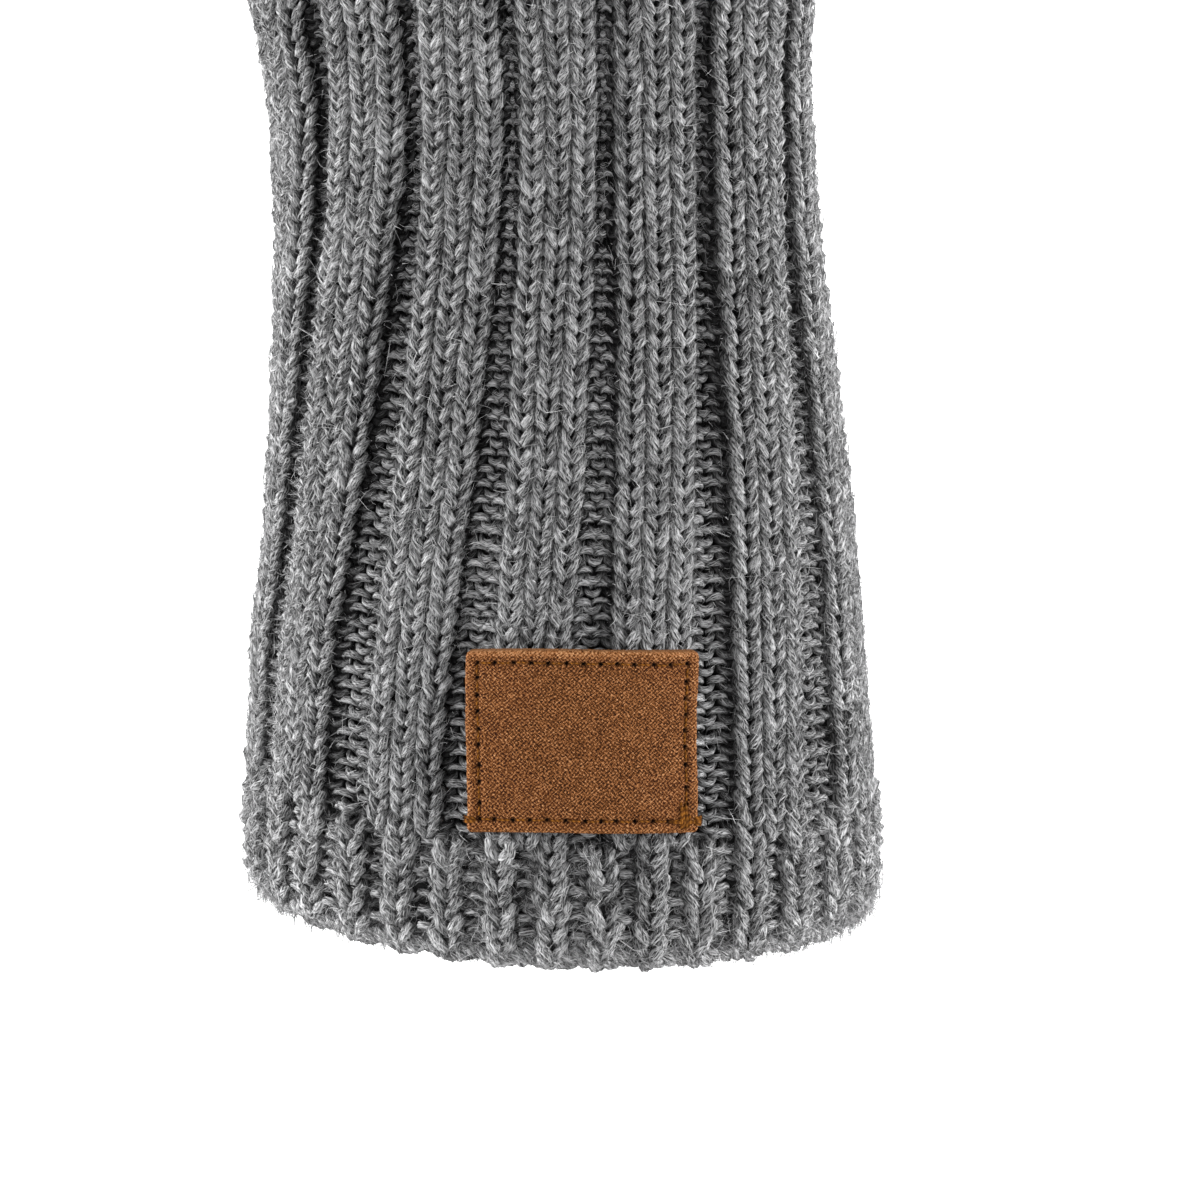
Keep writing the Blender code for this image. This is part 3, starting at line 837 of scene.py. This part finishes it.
def tube_sheet(form, material):
    """A thin closed sheet under the yarn, on the ribs' form, open at the thumb."""
    columns = np.linspace(0.0, STITCHES, STITCHES * SHEET_POINTS + 1)
    heights = np.linspace(HEM_Z + SHEET_END, TOP_Z - SHEET_END, SHEET_LEVELS)
    stitch, z = np.meshgrid(columns, heights, indexing="ij")
    front, back = (form.point(stitch, z, inset)[0] for inset in (SHEET_OUTER, SHEET_INNER))
    loop = np.concatenate((front, back[:, ::-1]), axis=1)
    count, size = loop.shape[:2]
    column, k = np.meshgrid(np.arange(count - 1), np.arange(size), indexing="ij")
    after = (k + 1) % size
    quads = np.stack((column * size + k, column * size + after,
                      (column + 1) * size + after, (column + 1) * size + k), -1).reshape(-1, 4)
    caps = []
    for base, turned in ((0, False), ((count - 1) * size, True)):
        step = np.arange(SHEET_LEVELS - 1)
        cap = np.stack((base + step + 1, base + step, base + size - 1 - step, base + size - 2 - step), -1)
        caps.append(cap[:, ::-1] if turned else cap)
    faces = np.concatenate([quads] + caps)
    # 0 on the outer face, painted dark as shade between the stitches, and 1 on the lighter inner face
    inside = np.tile(np.repeat((0.0, 1.0), SHEET_LEVELS), count)
    return mesh_piece("knit_backing", loop, [faces], material, {}, {"inside": inside})


def patch_ticks(half, line):
    """Places across the patch in millimetres: close together at its edge and at the seam line."""
    edge = [half - d for d in EDGE_TICKS]
    near = [line + d for d in SEAM_TICKS]
    inner = list(np.linspace(0.0, near[0], math.ceil(near[0] / PATCH_CELL), endpoint=False))
    outer = list(np.arange(near[-1] + PATCH_CELL, half - OUTER_TICKS_END, PATCH_CELL))
    positive = sorted(set(inner[1:] + near + outer + edge))
    return np.array([-v for v in positive[::-1]] + [0.0] + positive)


def seam_holes(rng):
    """Places of the patch's stitch holes, in millimetres from its middle and in order round it."""
    corners = [(-SEAM_X, -SEAM_Z), (SEAM_X, -SEAM_Z), (SEAM_X, SEAM_Z), (-SEAM_X, SEAM_Z)]
    holes = []
    for (x0, z0), (x1, z1) in zip(corners, corners[1:] + corners[:1]):
        count = round(math.hypot(x1 - x0, z1 - z0) / SEAM_STITCH)
        for k in range(count):
            part = (k + (rng.uniform(-HOLE_UNEVEN, HOLE_UNEVEN) if k else 0.0)) / count
            holes.append((x0 + (x1 - x0) * part + rng.normal(0, HOLE_SPREAD),
                          z0 + (z1 - z0) * part + rng.normal(0, HOLE_SPREAD)))
    return np.array(holes)


def leather_face(form, x, z, outset):
    """Points of the patch: x and z in millimetres from its middle, outset in millimetres over the crowns."""
    part_x, part_z = x / HALF_X, z / HALF_Z
    high, low = np.clip(part_z, 0.0, 1.0), np.clip(-part_z, 0.0, 1.0)
    corners = (1.0, np.clip(-part_x, 0.0, 1.0) ** 2, np.clip(part_x, 0.0, 1.0) ** 2)
    top, bottom = (sum(drop * part for drop, part in zip(drops, corners))
                   for drops in (PATCH_TOP_DROPS, PATCH_LOW_DROPS))
    settled = z - high * top - low * bottom
    stretched = x + PATCH_TOP_WIDER * high * np.clip(part_x, 0.0, 1.0)
    return form.point_at_way(PATCH_MIDDLE_X + stretched * MM, PATCH_MIDDLE_Z + settled * MM, -outset * MM)


def patch_swell(x, z):
    """Slow unevenness of the leather over the ribs, in millimetres: two low waves."""
    return 0.10 * np.sin(0.31 * x + 0.6) * np.cos(0.23 * z) + 0.06 * np.sin(0.19 * z + 0.11 * x * x / 9.0)


def round_off(distance, radius):
    """How far a rounded edge falls back, at a distance from it."""
    short = np.maximum(radius - distance, 0.0)
    return radius - np.sqrt(np.maximum(radius**2 - short**2, 0.0))


def patch_slab(front, back):
    """Vertices and faces. The back has coarse cells, whose outer edges keep the front's points."""
    rows, columns = front.shape[:2]
    cut_z, cut_x = (sorted(set(range(0, n - 1, BACK_STEP)) | {n - 1}) for n in (rows, columns))
    grid = np.arange(rows * columns).reshape(rows, columns)
    quads = np.stack((grid[:-1, :-1], grid[:-1, 1:], grid[1:, 1:], grid[1:, :-1]), -1).reshape(-1, 4)
    faces = [tuple(q) for q in quads]
    vertices = list(front.reshape(-1, 3))
    used = {}

    def back_vertex(row, column):
        """The number of a vertex of the back, which is added when it's first asked for."""
        if (row, column) not in used:
            used[row, column] = len(vertices)
            vertices.append(back[row, column])
        return used[row, column]

    for r0, r1 in zip(cut_z, cut_z[1:]):
        for c0, c1 in zip(cut_x, cut_x[1:]):
            bottom = range(c0, c1) if r0 == 0 else (c0,)
            right = range(r0, r1) if c1 == columns - 1 else (r0,)
            top = range(c1, c0, -1) if r1 == rows - 1 else (c1,)
            left = range(r1, r0, -1) if c0 == 0 else (r1,)
            cell = [(r0, c) for c in bottom] + [(r, c1) for r in right]
            cell += [(r1, c) for c in top] + [(r, c0) for r in left]
            faces.append(tuple(back_vertex(r, c) for r, c in cell[::-1]))
    rim = [(0, c) for c in range(columns - 1)] + [(r, columns - 1) for r in range(rows - 1)]
    rim += [(rows - 1, c) for c in range(columns - 1, 0, -1)] + [(r, 0) for r in range(rows - 1, 0, -1)]
    for a, b in zip(rim, rim[1:] + rim[:1]):
        faces.append((int(grid[b]), int(grid[a]), back_vertex(*a), back_vertex(*b)))
    return vertices, faces, used


def leather_patch(form, holes, leather):
    """The patch: a slab with rounded edges, a sunk seam line and a dent at every stitch hole."""
    x, z = np.meshgrid(patch_ticks(HALF_X, SEAM_X), patch_ticks(HALF_Z, SEAM_Z), indexing="xy")
    step_in = round_off(HALF_Z - np.abs(z), PATCH_CORNER / MM)
    wear = 0.03 * np.sin(0.9 * z + 0.4) + 0.02 * np.sin(4.1 * z)
    x_placed = x * (HALF_X - step_in - PATCH_NARROWER + wear * (np.abs(x) / HALF_X) ** WEAR_POWER) / HALF_X
    edge = np.minimum(HALF_X - np.abs(x), HALF_Z - np.abs(z))
    on_x = np.abs(np.abs(x) - SEAM_X) + FAR_AWAY * (np.abs(z) > SEAM_Z + SEAM_PAST)
    on_z = np.abs(np.abs(z) - SEAM_Z) + FAR_AWAY * (np.abs(x) > SEAM_X + SEAM_PAST)
    seam = np.exp(-(np.minimum(on_x, on_z) / SEAM_WIDTH) ** 2)
    away = np.sqrt((x[..., None] - holes[:, 0]) ** 2 + (z[..., None] - holes[:, 1]) ** 2).min(-1)
    hole = np.exp(-(away / HOLE_WIDTH) ** 2)
    outset = FACE_HEIGHT + patch_swell(x, z) * (edge > 0) - round_off(edge, PATCH_ROUNDING) \
        - SEAM_SINK * seam - HOLE_SINK * hole
    front = leather_face(form, x_placed, z, outset)[0]
    back = leather_face(form, x_placed, z, np.full_like(x, PATCH_GAP / MM))[0]
    vertices, faces, used = patch_slab(front, back)
    mesh = bpy.data.meshes.new("leather_patch_cover")
    mesh.from_pydata(vertices, [], faces)
    mesh.shade_smooth()
    mesh.set_sharp_from_angle(angle=PATCH_SHARP)
    # A lighter rim, partly wear and partly painted highlight; hole and seam also give painted shade in the
    # leather's colour
    wear_and_highlight_rim = 1.0 - smooth_step(edge, 0.0, WEAR_AND_HIGHLIGHT_WIDTH)
    on_front = (("hole", hole, 0.0), ("seam", seam, 0.0), ("edge", wear_and_highlight_rim, 0.5))
    values = {value_name: np.concatenate((value.ravel(), np.full(len(vertices) - value.size, on_back)))
              for value_name, value, on_back in on_front}
    flat = np.zeros((len(vertices), 2))
    flat[:x.size] = np.stack((x.ravel(), z.ravel()), -1)
    for (r, c), index in used.items():
        flat[index] = (x[r, c] + BACK_MAP_SHIFT * np.sign(x[r, c]), z[r, c])
    corners = np.empty(len(mesh.loops), np.int32)
    mesh.loops.foreach_get("vertex_index", corners)
    put_numbers(mesh, {"face": flat[corners]}, values)
    mesh.materials.append(leather)
    return add_object("leather_patch_cover", mesh)


def thread_runs(holes, rng):
    """Start, end, rise and radius of each run of thread: the seam, and then those at the low corners."""
    runs = [(a, b, *SEAM_THREAD) for a, b in zip(holes, np.roll(holes, -1, 0))]

    def add(start, end, kind):
        """Adds a run between two places."""
        runs.append((np.array(start), np.array(end), *kind))

    for _ in range(BAR_THREADS):
        x = SEAM_X - 0.45 + rng.uniform(-0.7, 0.7)
        low, high = -SEAM_Z - rng.uniform(1.5, 1.95), -SEAM_Z + rng.uniform(1.0, 3.8)
        add((x, low), (x + rng.normal(0, 0.2), high), BAR_THREAD)
    for _ in range(LEVEL_THREADS):
        z = -SEAM_Z + rng.uniform(-0.35, 0.3)
        add((SEAM_X - 3.0, z), (SEAM_X + 2.4, z + rng.normal(0, 0.1)), LEVEL_THREAD)
    for k in range(TUFT_THREADS):
        z = -SEAM_Z + 0.22 * (k - 2) - 0.1
        add((SEAM_X + 0.7, z), (SEAM_X + 2.3, z + rng.normal(0, 0.06)), TUFT_THREAD)
    for z in LEFT_TUFT:
        add((-SEAM_X, -SEAM_Z + z / 2), (-SEAM_X - 2.25, -SEAM_Z + z), LEFT_THREAD)
    return runs


def seam_thread(form, holes, rng, thread):
    """The patch's sewing: a slightly arched stitch between each two holes, and thread at the low corners."""
    runs = thread_runs(holes, rng)
    part = np.linspace(0.0, 1.0, THREAD_STEPS + 1)
    arch = np.minimum(1.0, np.sin(np.pi * part) ** THREAD_ARCH * THREAD_ARCH)
    lines, outs = [], []
    for a, b, rise, _ in runs:
        place = a + (b - a) * part[:, None]
        bow = rng.normal(0.0, THREAD_BOW) * np.sin(np.pi * part)
        across = np.array((-(b - a)[1], (b - a)[0])) / max(np.hypot(*(b - a)), 1e-6)
        place = place + bow[:, None] * across
        lift = FACE_HEIGHT + patch_swell(place[:, 0], place[:, 1]) - THREAD_SINK + (rise + THREAD_UP) * arch
        points, normals = leather_face(form, place[:, 0], place[:, 1], lift)
        lines.append(points)
        outs.append(normals)
    lines, outs = np.array(lines), np.array(outs)
    before = np.concatenate((lines[:, :1], lines[:, :-1]), 1)
    after = np.concatenate((lines[:, 1:], lines[:, -1:]), 1)
    side, out = tube_frames(before, after, outs)
    radius = np.array([run[3] for run in runs])[:, None] * MM * np.ones(lines.shape[:2])
    along = length_along(lines, rng.uniform(0.0, THREAD_START, (len(runs), 1)))
    tone = np.repeat(rng.uniform(*THREAD_TONES, (len(runs), 1)), THREAD_STEPS + 1, axis=1)
    tone[len(holes):] = CORNER_CONTRAST * tone[len(holes):] - CORNER_DARKER
    # sunk: painted shade in the thread's colour where it sinks into its holes
    values = {"tone": tone, "sunk": np.broadcast_to(1.0 - arch, tone.shape)}
    return tube_piece("seam_thread", lines, side, out, radius, radius, THREAD_SIDES, along, values, thread)


class Nodes:
    """Builds a material's node tree: each call adds a node and returns its first output."""

    def __init__(self, name):
        self.material = bpy.data.materials.new(name)
        self.material.use_nodes = True
        self.tree = self.material.node_tree
        self.tree.nodes.clear()
        output = self.tree.nodes.new("ShaderNodeOutputMaterial")
        self.shader = self.tree.nodes.new("ShaderNodeBsdfPrincipled")
        self.tree.links.new(self.shader.outputs[0], output.inputs[0])

    def feed(self, socket, value):
        """Links an output to a socket, or sets the socket to a number or colour."""
        if isinstance(value, bpy.types.NodeSocket):
            self.tree.links.new(value, socket)
        else:
            socket.default_value = value

    def add(self, kind, *values, operation=None, **named):
        """A new node: its first inputs are fed in their order, and others by name."""
        node = self.tree.nodes.new(kind)
        if operation:
            node.operation = operation
        for key, value in [*enumerate(values), *named.items()]:
            self.feed(node.inputs[key], value)
        return node

    def math(self, operation, *values):
        """Arithmetic on one or two values."""
        return self.add("ShaderNodeMath", *values, operation=operation).outputs[0]

    def times(self, one, two):
        """One value multiplied by another."""
        return self.math("MULTIPLY", one, two)

    def plus(self, total, *others):
        """All the values added up, one after another."""
        for other in others:
            total = self.math("ADD", total, other)
        return total

    def mapped(self, value, low, high, to_low=0.0, to_high=1.0):
        """A value's range moved to another range, and clamped to it."""
        return self.add("ShaderNodeMapRange", value, low, high, to_low, to_high).outputs[0]

    def uv(self, name):
        """Both numbers of a UV map."""
        node = self.tree.nodes.new("ShaderNodeUVMap")
        node.uv_map = name
        parts = self.add("ShaderNodeSeparateXYZ", node.outputs[0])
        return parts.outputs[0], parts.outputs[1]

    def object_place(self):
        """Metres in the piece's own frame."""
        return self.tree.nodes.new("ShaderNodeTexCoord").outputs["Object"]

    def vector(self, x, y, z=0.0):
        """A place from three numbers."""
        return self.add("ShaderNodeCombineXYZ", x, y, z).outputs[0]

    def attribute(self, name):
        """The number that a mesh's vertices carry under this name."""
        node = self.tree.nodes.new("ShaderNodeAttribute")
        node.attribute_name = name
        return node.outputs["Fac"]

    def noise(self, place, scale=1.0, detail=2.0, roughness=0.5):
        """Soft noise from 0 to 1 at a place."""
        return self.add("ShaderNodeTexNoise", Vector=place, Scale=scale, Detail=detail,
                        Roughness=roughness).outputs[0]

    def ramp(self, value, stops):
        """A colour from a value, by stops that each say a place and a colour."""
        node = self.add("ShaderNodeValToRGB", value)
        ramp = node.color_ramp
        while len(ramp.elements) < len(stops):
            ramp.elements.new(0.5)
        for element, (position, colour) in zip(ramp.elements, stops):
            element.position = position
            element.color = (*colour, 1.0)
        return node.outputs[0]

    def shade(self, colour, factor):
        """Multiplies a colour by a number."""
        return self.add("ShaderNodeVectorMath", colour, operation="SCALE", Scale=factor).outputs[0]

    def bump(self, height, distance, strength=1.0):
        """Gives the shader's surface a fine relief."""
        node = self.add("ShaderNodeBump", Distance=distance, Strength=strength, Height=height)
        self.feed(self.shader.inputs["Normal"], node.outputs[0])

    def finish(self, colour, roughness, specular, sheen=0.0, sheen_roughness=0.5):
        """Feeds the shader and returns the material."""
        values = {"Base Color": colour, "Roughness": roughness, "Specular IOR Level": specular,
                  "Sheen Weight": sheen, "Sheen Roughness": sheen_roughness}
        for name, value in values.items():
            self.feed(self.shader.inputs[name], value)
        return self.material


def greys(stops):
    """Stops of a ramp whose colours are greys, a trace bluer than even."""
    return [(position, (value, value, value * 1.01)) for position, value in stops]


def yarn_material():
    """Heather wool: light and dark fibres wound round the yarn, with painted shade between the stitches and
    painted light in places.
    """
    n = Nodes("heather_yarn")
    u, v = n.uv("yarn")
    strands = []
    for slope, lengthways, across, shift in YARN_STRANDS:
        turned = n.plus(v, n.times(u, slope))
        place = n.vector(n.times(u, lengthways), n.times(turned, across), shift)
        strands.append(n.noise(place, 1.0, 1.0, 0.6))
    fine = n.math("MAXIMUM", strands[0], n.math("SUBTRACT", strands[1], 0.03))
    streak = n.noise(n.vector(n.times(u, 0.4), n.times(v, 1.6), 7.3), 1.0, 2.0)
    mixed = n.plus(n.times(n.math("SUBTRACT", fine, 0.04), 0.8), n.times(streak, 0.2))
    toned = n.plus(mixed, n.times(n.math("SUBTRACT", n.attribute("tone"), 0.5), YARN_TONE_SHARE))
    colour = n.ramp(toned, greys(YARN_GREYS))
    # Painted shade in the creases and painted light in places, from the numbers that yarn_shade gives
    colour = n.shade(colour, n.math("SUBTRACT", 1.0, n.times(n.attribute("painted_shade"), PAINTED_SHADE_DARKER)))
    turns = n.math("SUBTRACT", n.times(v, PLY_ACROSS), n.times(u, PLY_ALONG))
    ply = n.math("SINE", n.times(turns, 2.0 * math.pi))
    n.bump(n.plus(n.times(ply, 0.10), n.times(fine, 0.5)), 0.001, 0.8)
    return n.finish(colour, 0.9, 0.01, 0.006, 0.45)


def fibre_material():
    """Single loose fibres, from dark to light."""
    n = Nodes("loose_fibre")
    return n.finish(n.ramp(n.attribute("tone"), greys(FIBRE_GREYS)), 0.7, 0.1, 0.05, 0.4)


def backing_material():
    """The wool seen between the stitches, painted dark as shade, and lighter on the sheet's inner side."""
    n = Nodes("painted_shade_wool")
    place = n.object_place()
    mixed = n.plus(n.times(n.noise(place, 2600.0, 3.0, 0.7), 0.6), n.times(n.noise(place, 700.0, 2.0), 0.4))
    # Painted shade: very dark greys on the outer face, lighter on the inner face
    colour = n.shade(n.ramp(mixed, greys(BACKING_SHADE_GREYS)),
                     n.mapped(n.attribute("inside"), 0.0, 1.0, 1.0, INSIDE_LIGHTER))
    n.bump(mixed, 0.0006, 0.7)
    return n.finish(colour, 0.95, 0.01, 0.004)


def leather_material():
    """Tan leather with a fine crossed grain, lighter at its rim from wear and painted highlight, with a
    painted highlight along the top edge, and painted shade in the stitch holes and the seam's trough.
    """
    n = Nodes("tan_leather")
    x, z = n.uv("face")
    rising, falling = n.plus(x, z), n.math("SUBTRACT", x, z)
    one = n.noise(n.vector(n.times(rising, GRAIN_LONG), n.times(falling, GRAIN_SHORT)), 1.0, 0.0)
    two = n.noise(n.vector(n.times(rising, GRAIN_SHORT), n.times(falling, GRAIN_LONG), 5.1), 1.0, 0.0)
    grain = n.times(n.plus(one, two), 0.5)
    warp = n.times(n.noise(n.vector(x, z, 6.0), 1.1, 1.0), CROSS_WARP)
    crossed = n.plus(*[n.math("SINE", n.plus(n.times(way, CROSS_FINE), warp)) for way in (rising, falling)])
    blotch = n.noise(n.vector(x, z, 2.0), 0.55, 3.0)
    speck = n.noise(n.vector(x, z, 9.0), 6.5, 1.0)
    patchy = n.plus(n.times(blotch, BLOTCH_SHARE), n.times(speck, SPECK_SHARE))
    mixed = n.plus(n.times(grain, GRAIN_SHARE), patchy)
    # The lighter rim is partly wear and partly painted highlight; the lighter strip along the top edge is a
    # painted highlight
    mixed = n.plus(mixed, n.plus(n.times(crossed, CROSS_SHARE), LEATHER_LIGHTER),
                   n.times(n.attribute("edge"), EDGE_LIGHTER), n.mapped(z, *TOP_EDGE, 0.0, TOP_LIGHTER))
    colour = n.ramp(mixed, LEATHER_COLOURS)
    # Painted shade in the stitch holes and in the seam's trough
    hollow = n.plus(n.attribute("hole"), n.times(n.attribute("seam"), SEAM_SHARE))
    colour = n.shade(colour, n.mapped(hollow, 0.05, 0.65, 1.0, 0.02))
    n.bump(grain, 0.0004, 0.6)
    return n.finish(colour, n.mapped(grain, 0.3, 0.7, 0.82, 0.70), 0.03)


def thread_material():
    """Twisted polyester sewing thread, a darker yellow brown than the leather."""
    n = Nodes("brown_thread")
    u, v = n.uv("yarn")
    twist = n.math("SINE", n.plus(n.times(v, math.pi / 3.0), n.times(u, THREAD_TWIST)))
    colour = n.ramp(n.mapped(twist, -1.0, 1.0), THREAD_COLOURS)
    colour = n.shade(colour, n.mapped(n.attribute("tone"), 0.0, 1.0, 0.50, 0.92))
    # Painted shade where the thread sinks into its holes
    colour = n.shade(colour, n.mapped(n.attribute("sunk"), 0.1, 0.8, 1.0, 0.05))
    n.bump(twist, 0.0001, 0.6)
    return n.finish(colour, 0.8, 0.04)


def look_at(thing, target):
    """Turns a camera or lamp towards a place."""
    thing.rotation_euler = (Vector(target) - thing.location).to_track_quat("-Z", "Y").to_euler()


def camera():
    """The photograph's view: a little above the hem, close to level."""
    data = bpy.data.cameras.new("camera")
    data.sensor_width = CAMERA_SENSOR
    data.lens = data.sensor_width / 2.0 * CAMERA_DISTANCE / (FRAME_WIDTH / 2.0)
    thing = add_object("camera", data)
    rise = math.radians(CAMERA_ELEVATION)
    thing.location = Vector(CAMERA_TARGET) + CAMERA_DISTANCE * Vector((0.0, -math.cos(rise), math.sin(rise)))
    look_at(thing, CAMERA_TARGET)
    bpy.context.scene.camera = thing


def studio():
    """A plain pale floor, a white surround and soft lamps."""
    world = bpy.data.worlds.new("surround")
    world.use_nodes = True
    colour, strength = world.node_tree.nodes["Background"].inputs[:2]
    colour.default_value, strength.default_value = (1.0, 1.0, 1.0, 1.0), SURROUND
    bpy.context.scene.world = world
    for name, place, size, power in LAMPS:
        data = bpy.data.lights.new(name, "AREA")
        data.size, data.energy = size, power
        lamp = add_object(name, data)
        lamp.location = place
        look_at(lamp, LAMP_TARGET)
    mesh = bpy.data.meshes.new("floor")
    signs = ((-1, -1), (1, -1), (1, 1), (-1, 1))
    mesh.from_pydata([(x * FLOOR_HALF, y * FLOOR_HALF, FLOOR_Z) for x, y in signs], [], [(0, 1, 2, 3)])
    mesh.materials.append(Nodes("pale_floor").finish(FLOOR_COLOUR, 0.9, 0.1))
    floor = add_object("floor", mesh)


def build():
    """Makes every piece, and says its body and what it replaces."""
    rng = np.random.default_rng(SEED)
    form = Form()
    knitting = Knitting(form, rng)
    wool, fibre, backing = yarn_material(), fibre_material(), backing_material()
    pieces, roots = knit_yarn(knitting, rng, wool)
    cords, cord_roots = edge_cords(form, rng, wool)
    pieces += cords
    roots = [np.concatenate(part) for part in zip(*roots, *cord_roots)]
    pieces += [make(roots, rng, fibre) for make in (halo_fibres, short_fibres, lying_fibres, hem_hairs)]
    sheet = tube_sheet(form, backing)
    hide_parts("knit_front", "knit_back")
    holes = seam_holes(rng)
    patch = leather_patch(form, holes, leather_material())
    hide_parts("leather_patch")
    thread = seam_thread(form, holes, rng, thread_material())
    for piece in pieces + [sheet, patch, thread]:
        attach(piece, "root")


camera()
studio()
build()
bpy.context.scene.view_settings.view_transform = "Standard"
